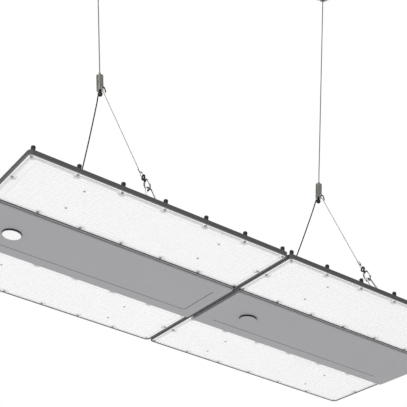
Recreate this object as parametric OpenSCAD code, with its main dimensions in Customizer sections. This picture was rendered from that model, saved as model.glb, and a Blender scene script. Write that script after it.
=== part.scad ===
// Twin-module LED grow light for greenhouses, hung from a ceiling on two height-adjustable Y hangers.
// Origin: centre of the ceiling bolt pattern, on the ceiling plane. +Z is up, +X runs along the row of
// modules and +Y across it. Inside a module, heights are measured up from the lower face of the tray's rim.
// Side A is the left module (-X), side B the right one (+X). "Near" is -Y and "far" is +Y.

/* [Row] */
// Height of the ceiling above the lower face of the trays' rims
drop = 950; // [850:10:2000]
// Gap between the two modules
module_gap = 3; // [3:0.5:20]
// How far outward of its module's centre the ceiling fitting of side A sits
ceiling_out_a = 143; // [0:1:160]
// How far outward of its module's centre the ceiling fitting of side B sits
ceiling_out_b = 4; // [0:1:160]

/* [Tray] */
// Length of one module, along the row
module_l = 500; // [480:1:560]
// Width of one module, across the row
module_w = 482; // [480:1:520]
// Height of the tray's rim
rim_h = 8; // [8:0.5:12]
// Thickness of the tray's rim and of its floor
tray_wall = 3; // [2.5:0.5:4]
// Radius of the tray's outer corners
corner_r = 9; // [6:0.5:14]
// Distance of the corner screws from the module's edges
screw_inset = 8.5; // [8.5:0.5:10]
// Height of the screw bosses on the tray's back
boss_h = 12; // [5:0.5:14]

/* [Centre bay] */
// Width of the cover across the row
cover_w = 160; // [150:1:166]
// How far the cover's face lies below the rim
cover_drop = 6.5; // [6:0.5:9]
// Distance of the shadow groove from the cover's far edge
groove_inset = 28; // [18:1:32]
// Diameter of the round sensor and of the cap that blanks its place
sensor_d = 33; // [28:0.5:40]
// Distance of the sensor from the left end of the module
sensor_from_end = 82; // [70:1:100]
// Height of the driver housing above the rim's lower face
housing_top = 56; // [50:1:80]

/* [Hanger] */
// Height of the snap hooks' contact with the bails, where the module tilts
hook_z = 76; // [72:1:90]
// Height of side A's gripper, at its lower end
gripper_z_a = 368; // [320:1:420]
// Height of side B's gripper, at its lower end
gripper_z_b = 338; // [320:1:420]
// Length of the gripper
gripper_l = 38; // [34:1:50]
// Diameter of the gripper
gripper_d = 14; // [11:0.5:16]
// Radius of the main wire
wire_r = 1.2; // [0.8:0.1:1.3]

/* [Hidden] */
$fn = 48;

A = -1;
B = 1;
NEAR = -1;
FAR = 1;

// Colours
PAINT = "#5b5e62";
COVER_PAINT = "#9c9ca2";
STEEL = "#b9babc";
NICKEL = "#a9a79c";
WHITE = "#f4f5f5";
BLACK = "#202123";
RUBBER = "#2c2d2f";

// The row is shifted along X so that the ceiling pattern's centre is the origin
pitch = module_l + module_gap;
row_x = (ceiling_out_a - ceiling_out_b) / 2;
function centre_x(side) = row_x + side * pitch / 2;

// Levels inside a module
floor_z = rim_h - tray_wall;
gasket_h = 1.8;
lens_top_z = floor_z - gasket_h;
lens_flange_z = 0.6;
lens_face_z = -1;
led_board_t = 1.6;
collar_z = -cover_drop + 3.5;
seal_z = collar_z - 1;
cover_t = seal_z + cover_drop;

// Outlines inside a module
rim_in_l = module_l - 2 * tray_wall;
rim_in_w = module_w - 2 * tray_wall;
lens_gap = 0.6;
lens_l = rim_in_l - 2 * lens_gap;
lens_out_y = rim_in_w / 2 - lens_gap;
lens_in_y = cover_w / 2 + 1.6;
lens_w = lens_out_y - lens_in_y;
lens_y = (lens_out_y + lens_in_y) / 2;
collar_wall = 4;
collar_l = rim_in_l - 2;
collar_w = cover_w + 0.8;
cover_l = collar_l - 1.2;
bay_l = 424;
bay_w = 120;
ring_inset = 13 - tray_wall - lens_gap;
ring_wall = 4;

// Screw places: seven along each long side of a lens and one halfway up each short side
screw_pitch = (module_l / 2 - screw_inset) / 3;
screw_out_y = module_w / 2 - screw_inset;
screw_in_y = lens_in_y + 5;
function lens_screws(wing) = concat(
  [for (i = [-3:3]) for (y = [screw_out_y, screw_in_y]) [i * screw_pitch, wing * y]],
  [for (i = [-3, 3]) [i * screw_pitch, wing * (screw_out_y + screw_in_y) / 2]]
);
screw_hole_r = 1.55;
shank_r = 1.5;
bay_screw_xs = [-225, -75, 75, 225];
bay_screw_y = 70.5;
post_r = 4;
flange_t = 2.5;
sensor_h = 4;
window_t = 1.2;

// The hanger's legs, in the plane across the row: one straight line from the gripper to the bail's feet
foot_y = 200;
foot_z = 13;
bail_x = 15;
bail_r = 1.5;
hook_reach = 32;
function gripper_z(side) = side == A ? gripper_z_a : gripper_z_b;
function leg_top_z(side) = gripper_z(side) + 4;
function leg_angle(side) = atan(foot_y / (leg_top_z(side) - foot_z));
function apex_s(side) = (leg_top_z(side) - hook_z) / cos(leg_angle(side));
function foot_s(side) = (leg_top_z(side) - foot_z) / cos(leg_angle(side));
function hook_s(side) = apex_s(side) - hook_reach;
near_leg_r = 0.8;
far_leg_r = 1.3;
strand_x = 1.15;

// The wire runs from the hooks' line to a ball seat in the ceiling cup, leaning out with the cup's place
pivot_depth = 12;
pivot_rise = drop - pivot_depth - hook_z;
function out_of(side) = side == A ? ceiling_out_a : ceiling_out_b;
function lean(side) = side * atan(out_of(side) / pivot_rise);
function pivot_z(side) = hook_z + pivot_rise / cos(lean(side));
end_ball_r = 4;
stop_ball_r = 5;
end_ball_drop = 7.5;
function end_ball_z(side) = gripper_z(side) - end_ball_drop;
cross_x = 3.2;
near_cross = 5;
far_cross = 6;

// ---- placing ----

module at_module(side) {
  translate([centre_x(side), 0, -drop]) children();
}

// Hanger pieces are drawn upright over the module's centre and lean about the hooks' line
module at_hanger(side) {
  at_module(side) translate([0, 0, hook_z]) rotate([0, lean(side), 0]) translate([0, 0, -hook_z]) children();
}

// Wing pieces are drawn on the far side and mirrored for the near one
module on_wing(wing) {
  mirror([0, wing == NEAR ? 1 : 0, 0]) children();
}

// Leg frame: Z runs down the far leg from the gripper, X stays along the row
module at_leg(side, s) {
  translate([0, 0, leg_top_z(side)]) rotate([180 + leg_angle(side), 0, 0]) translate([0, 0, s]) children();
}

// ---- shared shapes ----

module rounded_rect(l, w, r) {
  square([l - 2 * r, w], center = true);
  square([l, w - 2 * r], center = true);
  for (x = [-1, 1]) for (y = [-1, 1]) translate([x * (l / 2 - r), y * (w / 2 - r)]) circle(r);
}

module rounded_plate(l, w, r, z0, z1) {
  translate([0, 0, z0]) linear_extrude(z1 - z0) rounded_rect(l, w, r);
}

module ring_plate(l, w, r, wall, z0, z1) {
  translate([0, 0, z0]) linear_extrude(z1 - z0) difference() {
    rounded_rect(l, w, r);
    rounded_rect(l - 2 * wall, w - 2 * wall, max(r - wall, 1));
  }
}

// A plate whose lower edge is chamfered all round
module chamfered_plate(l, w, r, z0, z1, chamfer) {
  hull() {
    translate([0, 0, z0]) linear_extrude(0.1) rounded_rect(l - 2 * chamfer, w - 2 * chamfer, r - chamfer, $fn = 32);
    translate([0, 0, z0 + chamfer]) linear_extrude(z1 - z0 - chamfer) rounded_rect(l, w, r, $fn = 32);
  }
}

module x_cylinder(r, l) {
  rotate([0, 90, 0]) cylinder(r = r, h = l, center = true);
}

// A pan-head machine screw with a hexagon socket, its head below z = 0 and its shank above
module pan_screw(shank, head_r = 2.8, head_h = 1.7) {
  difference() {
    union() {
      translate([0, 0, -head_h]) cylinder(r1 = head_r - 0.7, r2 = head_r, h = 0.8, $fn = 24);
      translate([0, 0, 0.8 - head_h]) cylinder(r = head_r, h = head_h - 0.8, $fn = 24);
      cylinder(r = shank_r, h = shank, $fn = 24);
    }
    translate([0, 0, -head_h - 1]) cylinder(r = 1.15, h = 2, $fn = 6);
  }
}

function unit(v) = v / norm(v);
function way(pts, i) = unit(pts[min(i + 1, len(pts) - 1)] - pts[max(i - 1, 0)]);
// Directions across the wire, each carried on from the one before so that the rings never twist
function across(v, t) = unit(v - (v * t) * t);
function carried(pts, v, i = 0) =
  i == len(pts) ? [] : let (e = across(v, way(pts, i))) concat([e], carried(pts, e, i + 1));
function ring_at(p, t, e, r, sides) =
  [for (k = [0:sides - 1]) p + r * (cos(360 * k / sides) * e + sin(360 * k / sides) * cross(t, e))];

// A round wire swept along a list of points; first_e is any direction that its start doesn't run along
module wire(pts, r, first_e, sides = 8) {
  n = len(pts);
  es = carried(pts, first_e);
  rings = [for (i = [0:n - 1]) each ring_at(pts[i], way(pts, i), es[i], r, sides)];
  walls = [for (i = [0:n - 2]) for (k = [0:sides - 1])
    [i * sides + k, i * sides + (k + 1) % sides, (i + 1) * sides + (k + 1) % sides, (i + 1) * sides + k]];
  start_cap = [for (k = [0:sides - 1]) sides - 1 - k];
  end_cap = [for (k = [0:sides - 1]) (n - 1) * sides + k];
  polyhedron(points = rings, faces = concat([start_cap], walls, [end_cap]));
}

// ---- tray and light ----

module boss() {
  cylinder(r = 4.8, h = 1.2, $fn = 32);
  cylinder(r = 3.8, h = boss_h - 1.6, $fn = 32);
  translate([0, 0, boss_h - 1.6]) cylinder(r1 = 3.8, r2 = 2.4, h = 1.6, $fn = 32);
}

// Ears on the tray's back that hold a bail's feet
module bail_lugs() {
  for (x = [-1, 1]) translate([x * (bail_x + 3), foot_y, 0]) {
    translate([-2, -4.5, rim_h - 0.5]) cube([4, 9, foot_z - rim_h + 0.5]);
    translate([0, 0, foot_z]) x_cylinder(4.5, 4);
  }
}

module cooling_fins() {
  fin_first_y = 102;
  fin_pitch = 11;
  for (k = [0:10]) {
    y = fin_first_y + k * fin_pitch;
    near_lugs = abs(y - foot_y) < 14;
    for (x = near_lugs ? [-1, 1] : [0]) {
      l = near_lugs ? 185 : 440;
      translate([x * 127.5 - l / 2, y - 1, rim_h - 0.5]) cube([l, 2, 5.5]);
    }
  }
}

module tray() {
  color(PAINT) difference() {
    union() {
      difference() {
        rounded_plate(module_l, module_w, corner_r, 0, rim_h);
        rounded_plate(rim_in_l, rim_in_w, corner_r - tray_wall, -1, floor_z);
      }
      ring_plate(collar_l, collar_w, 6, collar_wall, collar_z, floor_z + 0.5);
      for (wing = [NEAR, FAR]) {
        for (p = lens_screws(wing)) {
          translate([p.x, p.y, rim_h]) boss();
          translate([p.x, p.y, lens_top_z]) cylinder(r = 4, h = gasket_h + 0.5, $fn = 32);
        }
        on_wing(wing) bail_lugs();
        on_wing(wing) cooling_fins();
      }
    }
    rounded_plate(bay_l, bay_w, 10, floor_z - 1, rim_h + 1);
    for (wing = [NEAR, FAR]) {
      for (p = lens_screws(wing)) translate([p.x, p.y, lens_top_z - 1]) cylinder(r = screw_hole_r, h = 11.5, $fn = 24);
      for (x = bay_screw_xs) translate([x, wing * bay_screw_y, floor_z - 1]) cylinder(r = 1.7, h = tray_wall + 2, $fn = 24);
      on_wing(wing) translate([0, foot_y, foot_z]) x_cylinder(bail_r + 0.1, 2 * bail_x + 20);
    }
  }
}

module lens_outline(inset) {
  translate([0, lens_y]) rounded_rect(lens_l - 2 * inset, lens_w - 2 * inset, 6);
}

// A lens plate: screw flange, a lower field inside it that bends around each screw, and a pocket for the LEDs
module lens(wing) {
  color(WHITE) difference() {
    union() {
      on_wing(wing) translate([0, 0, lens_flange_z]) linear_extrude(lens_top_z - lens_flange_z) lens_outline(0);
      difference() {
        on_wing(wing) translate([0, 0, lens_face_z]) linear_extrude(lens_flange_z - lens_face_z + 0.5) lens_outline(4);
        for (p = lens_screws(wing)) translate([p.x, p.y, lens_face_z - 1]) cylinder(r = 6, h = lens_flange_z - lens_face_z + 1, $fn = 32);
      }
    }
    on_wing(wing) translate([0, 0, 1.4]) linear_extrude(5) lens_outline(ring_inset + ring_wall);
    for (p = lens_screws(wing)) translate([p.x, p.y, lens_face_z - 2]) cylinder(r = 1.8, h = 8, $fn = 24);
  }
}

module lens_gaskets() {
  color(RUBBER) for (wing = [NEAR, FAR]) on_wing(wing) translate([0, lens_y, 0])
    ring_plate(lens_l - 2 * ring_inset, lens_w - 2 * ring_inset, 5, ring_wall, lens_top_z, floor_z);
}

module led_board(wing) {
  board_inset = ring_inset + ring_wall + 2;
  color("white") on_wing(wing) translate([0, lens_y, 0])
    rounded_plate(lens_l - 2 * board_inset, lens_w - 2 * board_inset, 3, floor_z - led_board_t, floor_z);
}

module lens_screw_set() {
  color(STEEL) for (wing = [NEAR, FAR]) for (p = lens_screws(wing))
    translate([p.x, p.y, lens_flange_z]) pan_screw(11.5);
}

// ---- driver bay ----

module driver_housing() {
  outer_l = 450;
  outer_w = 128;
  wall = 2.5;
  gland_x = -160;
  color(PAINT) difference() {
    union() {
      rounded_plate(outer_l, outer_w, 12, rim_h, housing_top);
      rounded_plate(outer_l + 24, outer_w + 26, 6, rim_h, rim_h + flange_t);
      for (k = [-5:5]) translate([-200, k * 10 - 1.25, housing_top - 0.5]) cube([400, 2.5, 3.5]);
    }
    rounded_plate(outer_l - 2 * wall, outer_w - 2 * wall, 12 - wall, rim_h - 1, housing_top - wall);
    for (y = [-1, 1]) for (x = bay_screw_xs)
      translate([x, y * bay_screw_y, rim_h - 1]) cylinder(r = 1.7, h = flange_t + 2, $fn = 24);
    translate([gland_x, outer_w / 2, 32]) rotate([90, 0, 0]) cylinder(r = 10.1, h = 10, center = true);
  }
}

module driver_unit() {
  top = housing_top - 2.5;
  color("#8d9094") union() {
    rounded_plate(250, 88, 5, top - 34, top - 2);
    rounded_plate(282, 60, 5, top - 2, top);
    for (x = [-1, 1]) translate([x * 130, 0, top - 22]) x_cylinder(4, 16);
  }
}

module terminal_block() {
  top = housing_top - 2.5;
  color(BLACK) difference() {
    translate([160, -24, top - 20]) cube([18, 48, 20]);
    for (k = [0:4]) translate([169, -19.2 + k * 9.6, top - 12]) x_cylinder(2, 30);
    for (k = [0:4]) translate([169, -19.2 + k * 9.6, top - 21]) cylinder(r = 1.6, h = 5);
  }
}

// Cable entry with a dome nut, through the housing's far wall
module cable_gland() {
  color(BLACK) translate([-160, 64, 32]) rotate([-90, 0, 0]) difference() {
    union() {
      translate([0, 0, -8]) cylinder(r = 10, h = 9);
      cylinder(r = 13, h = 5, $fn = 6);
      translate([0, 0, 5]) cylinder(r = 9.5, h = 3);
      translate([0, 0, 7]) cylinder(r = 12.5, h = 8, $fn = 6);
      translate([0, 0, 15]) cylinder(r1 = 10.5, r2 = 7.5, h = 6);
      translate([0, 0, -6.5]) cylinder(r = 13, h = 4, $fn = 6);
    }
    translate([0, 0, -9]) cylinder(r = 4.5, h = 31);
  }
}

// The shadow groove along the cover; on side A it turns and runs back across
module cover_groove(turns) {
  groove_w = 1.3;
  groove_d = 1.3;
  y0 = cover_w / 2 - groove_inset;
  back_to_y = -49;
  x0 = -module_l / 2 + 38;
  x1 = module_l / 2 - (turns ? 30 : 48);
  bend_r = 6;
  bottom = -cover_drop - 1;
  height = groove_d + 1;
  translate([x0, y0 - groove_w / 2, bottom]) cube([x1 - x0 - (turns ? bend_r : 0), groove_w, height]);
  if (turns) {
    translate([x1 - bend_r, y0 - bend_r, bottom]) rotate_extrude(angle = 90)
      translate([bend_r - groove_w / 2, 0]) square([groove_w, height]);
    translate([x1 - groove_w / 2, back_to_y, bottom]) cube([groove_w, y0 - bend_r - back_to_y, height]);
  } else {
    translate([x0, y0, bottom]) cylinder(r = 1.4, h = height);
  }
}

module bay_cover(turns) {
  color(COVER_PAINT) difference() {
    union() {
      chamfered_plate(cover_l, cover_w, 6, -cover_drop, seal_z, 1.2);
      for (x = bay_screw_xs) for (y = [-1, 1])
        translate([x, y * bay_screw_y, seal_z - 0.5]) cylinder(r = post_r, h = floor_z - seal_z + 0.5, $fn = 32);
    }
    cover_groove(turns);
    translate([-module_l / 2 + sensor_from_end, 0, -cover_drop - 1]) cylinder(r = sensor_d / 2 + 0.1, h = cover_t + 2);
    for (x = bay_screw_xs) for (y = [-1, 1])
      translate([x, y * bay_screw_y, seal_z + 1]) cylinder(r = screw_hole_r, h = floor_z - seal_z, $fn = 24);
  }
}

module bay_seal() {
  color(RUBBER) ring_plate(collar_l - 2.4, collar_w - 2.4, 5, collar_wall - 1.6, seal_z, collar_z);
}

module bay_screw_set() {
  color(STEEL) for (x = bay_screw_xs) for (y = [-1, 1])
    translate([x, y * bay_screw_y, rim_h + flange_t]) mirror([0, 0, 1]) pan_screw(12);
}

module sensor_collar() {
  color(BLACK) translate([-module_l / 2 + sensor_from_end, 0, 0]) difference() {
    union() {
      translate([0, 0, -cover_drop - sensor_h + window_t]) cylinder(r = sensor_d / 2, h = sensor_h - window_t + cover_t);
      translate([0, 0, seal_z]) cylinder(r = sensor_d / 2 + 4, h = 1.6);
    }
    translate([0, 0, -cover_drop - sensor_h]) cylinder(r = sensor_d / 2 - 2, h = 20);
  }
}

// The disc that closes the sensor's collar, with a spigot inside it
module sensor_disc(c) {
  color(c) translate([-module_l / 2 + sensor_from_end, 0, -cover_drop - sensor_h]) {
    translate([0, 0, 0.4]) cylinder(r = sensor_d / 2, h = window_t - 0.4);
    cylinder(r1 = sensor_d / 2 - 0.4, r2 = sensor_d / 2, h = 0.4);
    cylinder(r = sensor_d / 2 - 2.1, h = 4.5);
  }
}

// ---- bails and snap hooks ----

// A triangular wire loop whose turned-out feet sit in the tray's ears
module bail(side, wing) {
  rise = foot_s(side) - apex_s(side);
  foot = [[bail_x + 6, 0], [bail_x + 0.6, 0], [bail_x - 1.2, 0.7], [bail_x - 2.2, 2.6]];
  top = [[6.4, rise - 6], [5.6, rise - 3], [4.2, rise - 0.8], [2.6, rise]];
  half = concat(foot, top);
  flat = concat(half, [for (i = [len(half) - 1:-1:0]) [-half[i].x, half[i].y]]);
  color(STEEL) on_wing(wing) at_leg(side, foot_s(side)) wire([for (p = flat) [p.x, 0, -p.y]], bail_r, [0, 1, 0], 12);
}

// A flat snap hook: an eye above, an oval loop below and a gap in its inner side for the gate
module snap_hook(side, wing) {
  color(STEEL) on_wing(wing) at_leg(side, hook_s(side)) rotate([0, 90, 0]) linear_extrude(3.2, center = true) difference() {
    union() {
      circle(6);
      translate([-9, -5.2]) square([9, 10.4]);
      translate([-17, 0]) circle(8);
      translate([-29.7, -8]) square([12.7, 16]);
      translate([-29.7, 0]) circle(8);
    }
    circle(2.6);
    translate([-17, 0]) circle(4.6);
    translate([-29.7, -4.6]) square([12.7, 9.2]);
    translate([-29.7, 0]) circle(4.6);
    translate([-28.4, 3]) square([15.4, 8]);
  }
}

// A bar that turns inward about its upper end
module gate(side, wing) {
  gate_n = 6.2;
  color(NICKEL) on_wing(wing) at_leg(side, hook_s(side)) rotate([0, 90, 0]) linear_extrude(2.8, center = true) {
    translate([-14.6, gate_n]) circle(1.4);
    translate([-28.1, gate_n - 1.2]) square([13.5, 2.4]);
  }
}

// ---- leg wires and gripper ----

// A wire's end around a snap hook's eye: across the row, then down the leg from the hook's eye
EYE_LOOP = [
  [-1.15, -30], [-1.15, -15.5], [-2.3, -12.5], [-3.6, -9], [-4.1, -5.6], [-3.5, -2.8], [-2.7, -1.4], [-1.3, -0.6],
  [0, -0.4], [1.3, -0.6], [2.7, -1.4], [3.5, -2.8], [4.1, -5.6], [3.6, -9], [2.3, -12.5], [1.15, -15.5], [1.15, -25]
];
// Out of the gripper's cross hole, measured from the gripper's lower end
NEAR_START = [[-3.2, 4.5, 5], [-3.2, -7, 5], [-3.2, -9, 4.2], [-3.1, -10.6, 2.4], [-3, -12, -0.5]];
FAR_START = [
  [3.2, -16, -11], [3.2, -15, -5], [3.2, -12.5, 1], [3.2, -9.5, 5], [3.2, -7, 6], [3.2, 7, 6], [3.2, 9.8, 5],
  [3.2, 12.5, 1.5], [3.1, 15.5, -4.5]
];
// The stiff far wire comes back to the leg's line: across the row, out from the leg, then down the leg
FAR_RUN = [[3, 7.4, 24], [2.5, 5.6, 42], [1.9, 3.6, 68], [1.1, 1.2, 112], [-0.3, 0, 174]];

function from_gripper(side, pts) = [for (p = pts) [p.x, p.y, p.z + gripper_z(side)]];
function in_leg(side, wing, p) =
  let (a = leg_angle(side), y = p.z * sin(a) + p.y * cos(a), z = p.z * cos(a) - p.y * sin(a))
  [p.x, wing * y, leg_top_z(side) - z];
function loop_spread(wing) = wing == NEAR ? 1 : 1.25;
function eye_loop(side, wing) =
  [for (p = EYE_LOOP) in_leg(side, wing, [p[0] * loop_spread(wing), 0, hook_s(side) + p[1]])];

module leg_wire(side, wing) {
  near = wing == NEAR;
  run = near ? [] : [for (p = FAR_RUN) in_leg(side, FAR, p)];
  pts = concat(from_gripper(side, near ? NEAR_START : FAR_START), run, eye_loop(side, wing));
  color(near ? STEEL : BLACK) wire(pts, near ? near_leg_r : far_leg_r, [1, 0, 0]);
}

// Crimped sleeves that close the eye loops
module leg_ferrules(side) {
  sleeve_s = hook_s(side) - 27;
  color(NICKEL) for (wing = [NEAR, FAR]) on_wing(wing) at_leg(side, sleeve_s) {
    r = (wing == NEAR ? near_leg_r : far_leg_r) + 0.08;
    apart = strand_x * loop_spread(wing);
    linear_extrude(11) difference() {
      union() {
        square([2 * apart, 2 * r + 1.8], center = true);
        for (x = [-1, 1]) translate([x * apart, 0]) circle(r + 0.9);
      }
      square([2 * apart, 2 * r], center = true);
      for (x = [-1, 1]) translate([x * apart, 0]) circle(r);
    }
  }
}

module gripper(side) {
  r = gripper_d / 2;
  chamfer = 2;
  grip_r = 3.2;
  release_bore_r = 2.1;
  color(NICKEL) translate([0, 0, gripper_z(side)]) difference() {
    union() {
      cylinder(r1 = r - 0.6, r2 = r, h = 0.6);
      translate([0, 0, 0.6]) cylinder(r = r, h = gripper_l - 0.6 - chamfer);
      translate([0, 0, gripper_l - chamfer]) cylinder(r1 = r, r2 = grip_r, h = chamfer);
    }
    translate([0, 0, -1]) cylinder(r = wire_r + 0.08, h = gripper_l + 2);
    translate([0, 0, gripper_l - 12]) cylinder(r = release_bore_r, h = 13);
    translate([-cross_x, 0, near_cross]) rotate([90, 0, 0]) cylinder(r = near_leg_r + 0.08, h = 20, center = true, $fn = 24);
    translate([cross_x, 0, far_cross]) rotate([90, 0, 0]) cylinder(r = far_leg_r + 0.08, h = 20, center = true, $fn = 24);
  }
}

// The sprung collar that frees the wire when it is pressed into the gripper
module release_collar(side) {
  r = 2.02;
  h = 12.2;
  color(STEEL) translate([0, 0, gripper_z(side) + gripper_l - 7]) difference() {
    union() {
      cylinder(r = r, h = h);
      translate([0, 0, h]) cylinder(r1 = r, r2 = r - 0.4, h = 0.8);
    }
    translate([0, 0, -1]) cylinder(r = wire_r + 0.1, h = h + 4);
  }
}

// ---- wire and ceiling ----

module main_wire(side) {
  color(STEEL) translate([0, 0, end_ball_z(side)]) cylinder(r = wire_r, h = pivot_z(side) - end_ball_z(side), $fn = 24);
}

// Ball crimped on each end of the main wire: the stop under the gripper and the ball in the ceiling cup
module wire_ends(side) {
  color(BLACK) translate([0, 0, end_ball_z(side)]) difference() {
    union() {
      sphere(stop_ball_r);
      cylinder(r = 2.6, h = end_ball_drop - 0.5);
    }
    cylinder(r = wire_r + 0.02, h = end_ball_drop + 1.5, $fn = 24);
  }
  color(STEEL) difference() {
    translate([0, 0, pivot_z(side)]) sphere(end_ball_r);
    translate([0, 0, pivot_z(side) - 6]) cylinder(r = wire_r + 0.02, h = 6, $fn = 24);
  }
}

// Turned fitting with two screw holes in its flange and a seat for the wire's ball
module ceiling_cup(side) {
  flange_r = 28;
  body_r = 11;
  body_h = 24;
  seat_r = end_ball_r + 0.1;
  translate([centre_x(side) + side * out_of(side), 0, 0]) color(STEEL) difference() {
    union() {
      translate([0, 0, -3]) cylinder(r = flange_r, h = 3);
      translate([0, 0, -body_h + 2]) cylinder(r = body_r, h = body_h - 2);
      translate([0, 0, -body_h]) cylinder(r1 = body_r - 2, r2 = body_r, h = 2);
    }
    translate([0, 0, -pivot_depth]) cylinder(r = seat_r, h = pivot_depth + 1);
    translate([0, 0, -pivot_depth]) sphere(seat_r);
    translate([0, 0, -body_h - 1]) cylinder(r1 = 6, r2 = 2.6, h = body_h + 1 - pivot_depth - 3);
    for (y = [-1, 1]) translate([0, y * 20, -4]) cylinder(r = 2.25, h = 5);
  }
}

ceiling_cup(A);  // ceiling_cup_a
at_hanger(A) main_wire(A);  // main_wire_a
at_hanger(A) wire_ends(A);  // wire_ends_a
at_hanger(A) gripper(A);  // gripper_a
at_hanger(A) release_collar(A);  // release_collar_a
at_hanger(A) leg_wire(A, NEAR);  // leg_wire_near_a
at_hanger(A) leg_wire(A, FAR);  // leg_wire_far_a
at_hanger(A) leg_ferrules(A);  // leg_ferrules_a
at_hanger(A) snap_hook(A, NEAR);  // snap_hook_near_a
at_hanger(A) snap_hook(A, FAR);  // snap_hook_far_a
at_hanger(A) gate(A, NEAR);  // gate_near_a
at_hanger(A) gate(A, FAR);  // gate_far_a
at_module(A) bail(A, NEAR);  // bail_near_a
at_module(A) bail(A, FAR);  // bail_far_a
at_module(A) tray();  // tray_a
at_module(A) lens(NEAR);  // lens_near_a
at_module(A) lens(FAR);  // lens_far_a
at_module(A) lens_gaskets();  // lens_gaskets_a
at_module(A) led_board(NEAR);  // led_board_near_a
at_module(A) led_board(FAR);  // led_board_far_a
at_module(A) lens_screw_set();  // lens_screws_a
at_module(A) driver_housing();  // driver_housing_a
at_module(A) driver_unit();  // driver_unit_a
at_module(A) terminal_block();  // terminal_block_a
at_module(A) cable_gland();  // cable_gland_a
at_module(A) bay_cover(true);  // bay_cover_a
at_module(A) bay_seal();  // bay_seal_a
at_module(A) bay_screw_set();  // bay_screws_a
at_module(A) sensor_collar();  // sensor_collar_a
at_module(A) sensor_disc(WHITE);  // sensor_window_a

ceiling_cup(B);  // ceiling_cup_b
at_hanger(B) main_wire(B);  // main_wire_b
at_hanger(B) wire_ends(B);  // wire_ends_b
at_hanger(B) gripper(B);  // gripper_b
at_hanger(B) release_collar(B);  // release_collar_b
at_hanger(B) leg_wire(B, NEAR);  // leg_wire_near_b
at_hanger(B) leg_wire(B, FAR);  // leg_wire_far_b
at_hanger(B) leg_ferrules(B);  // leg_ferrules_b
at_hanger(B) snap_hook(B, NEAR);  // snap_hook_near_b
at_hanger(B) snap_hook(B, FAR);  // snap_hook_far_b
at_hanger(B) gate(B, NEAR);  // gate_near_b
at_hanger(B) gate(B, FAR);  // gate_far_b
at_module(B) bail(B, NEAR);  // bail_near_b
at_module(B) bail(B, FAR);  // bail_far_b
at_module(B) tray();  // tray_b
at_module(B) lens(NEAR);  // lens_near_b
at_module(B) lens(FAR);  // lens_far_b
at_module(B) lens_gaskets();  // lens_gaskets_b
at_module(B) led_board(NEAR);  // led_board_near_b
at_module(B) led_board(FAR);  // led_board_far_b
at_module(B) lens_screw_set();  // lens_screws_b
at_module(B) driver_housing();  // driver_housing_b
at_module(B) driver_unit();  // driver_unit_b
at_module(B) terminal_block();  // terminal_block_b
at_module(B) cable_gland();  // cable_gland_b
at_module(B) bay_cover(false);  // bay_cover_b
at_module(B) bay_seal();  // bay_seal_b
at_module(B) bay_screw_set();  // bay_screws_b
at_module(B) sensor_collar();  // sensor_collar_b
at_module(B) sensor_disc(COVER_PAINT);  // blank_cap_b
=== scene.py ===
"""Looks of a twin-module LED grow light that hangs on two Y hangers.

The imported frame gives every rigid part. This script gives each of them a finish, and adds what the
frame only holds as plain solids: stranded steel rope, wire-form hooks and bails, and the moulded
lenslets under the lenses. Everything is in metres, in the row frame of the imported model.
"""

from __future__ import annotations

import logging
import math
from dataclasses import dataclass, field
from enum import Enum
from typing import Callable, Optional, Sequence, Union

import bpy
import numpy as np
from mathutils import Matrix, Vector


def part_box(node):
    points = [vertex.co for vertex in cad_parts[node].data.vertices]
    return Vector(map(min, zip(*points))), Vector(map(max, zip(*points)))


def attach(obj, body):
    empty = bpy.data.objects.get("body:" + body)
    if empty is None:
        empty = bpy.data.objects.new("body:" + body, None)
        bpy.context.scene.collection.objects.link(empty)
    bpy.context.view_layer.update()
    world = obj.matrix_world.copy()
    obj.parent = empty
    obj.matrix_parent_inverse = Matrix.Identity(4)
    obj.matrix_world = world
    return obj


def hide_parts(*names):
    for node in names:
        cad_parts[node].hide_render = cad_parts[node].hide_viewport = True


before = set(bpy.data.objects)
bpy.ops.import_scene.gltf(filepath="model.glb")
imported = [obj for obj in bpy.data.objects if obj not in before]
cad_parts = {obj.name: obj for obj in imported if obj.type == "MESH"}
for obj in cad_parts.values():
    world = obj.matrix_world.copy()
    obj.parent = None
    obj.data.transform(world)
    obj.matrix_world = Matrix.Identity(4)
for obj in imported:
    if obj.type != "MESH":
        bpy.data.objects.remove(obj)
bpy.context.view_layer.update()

log = logging.getLogger("grow_light")

MM = 0.001
Colour = tuple[float, float, float]
Point = tuple[float, float, float]
Socket = bpy.types.NodeSocket
Value = Union[float, Sequence[float], Socket]
Inputs = dict[Union[str, int], Value]
Sockets = dict[str, Socket]
Tree = bpy.types.NodeTree


class Side(Enum):
    """The two modules: A on the left (-X), B on the right (+X)."""

    A = "a"
    B = "b"


class Wing(Enum):
    """The two halves of a module across the row."""

    NEAR = "near"
    FAR = "far"

    @property
    def sign(self) -> int:
        """-1 on the near half (-Y), +1 on the far half."""
        return -1 if self is Wing.NEAR else 1


def placed(name: str, data: bpy.types.ID) -> bpy.types.Object:
    """A new object in the scene."""
    made = bpy.data.objects.new(name, data)
    bpy.context.scene.collection.objects.link(made)
    return made


# ---- surfaces ----


def unit(v: np.ndarray) -> np.ndarray:
    """Vectors scaled to length 1, along the last axis."""
    return v / np.linalg.norm(v, axis=-1, keepdims=True)


def relaxed(points: np.ndarray, rounds: int = 3) -> np.ndarray:
    """Rounds a route's corners.

    Each pass replaces a corner by the points a quarter of the way along its two stretches.

    Args:
        points: The route's points, one a row.
        rounds: How many passes are made.

    Returns:
        The rounded route, with its two ends where they were.
    """
    for _ in range(rounds):
        a, b = points[:-1], points[1:]
        cut = np.stack([0.75 * a + 0.25 * b, 0.25 * a + 0.75 * b], axis=1).reshape(-1, 3)
        points = np.vstack([points[:1], cut[1:-1], points[-1:]])
    return points


def full_turn(sides: int) -> np.ndarray:
    """Evenly spaced angles of a full turn."""
    return np.linspace(0.0, math.tau, sides, endpoint=False)


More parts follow.
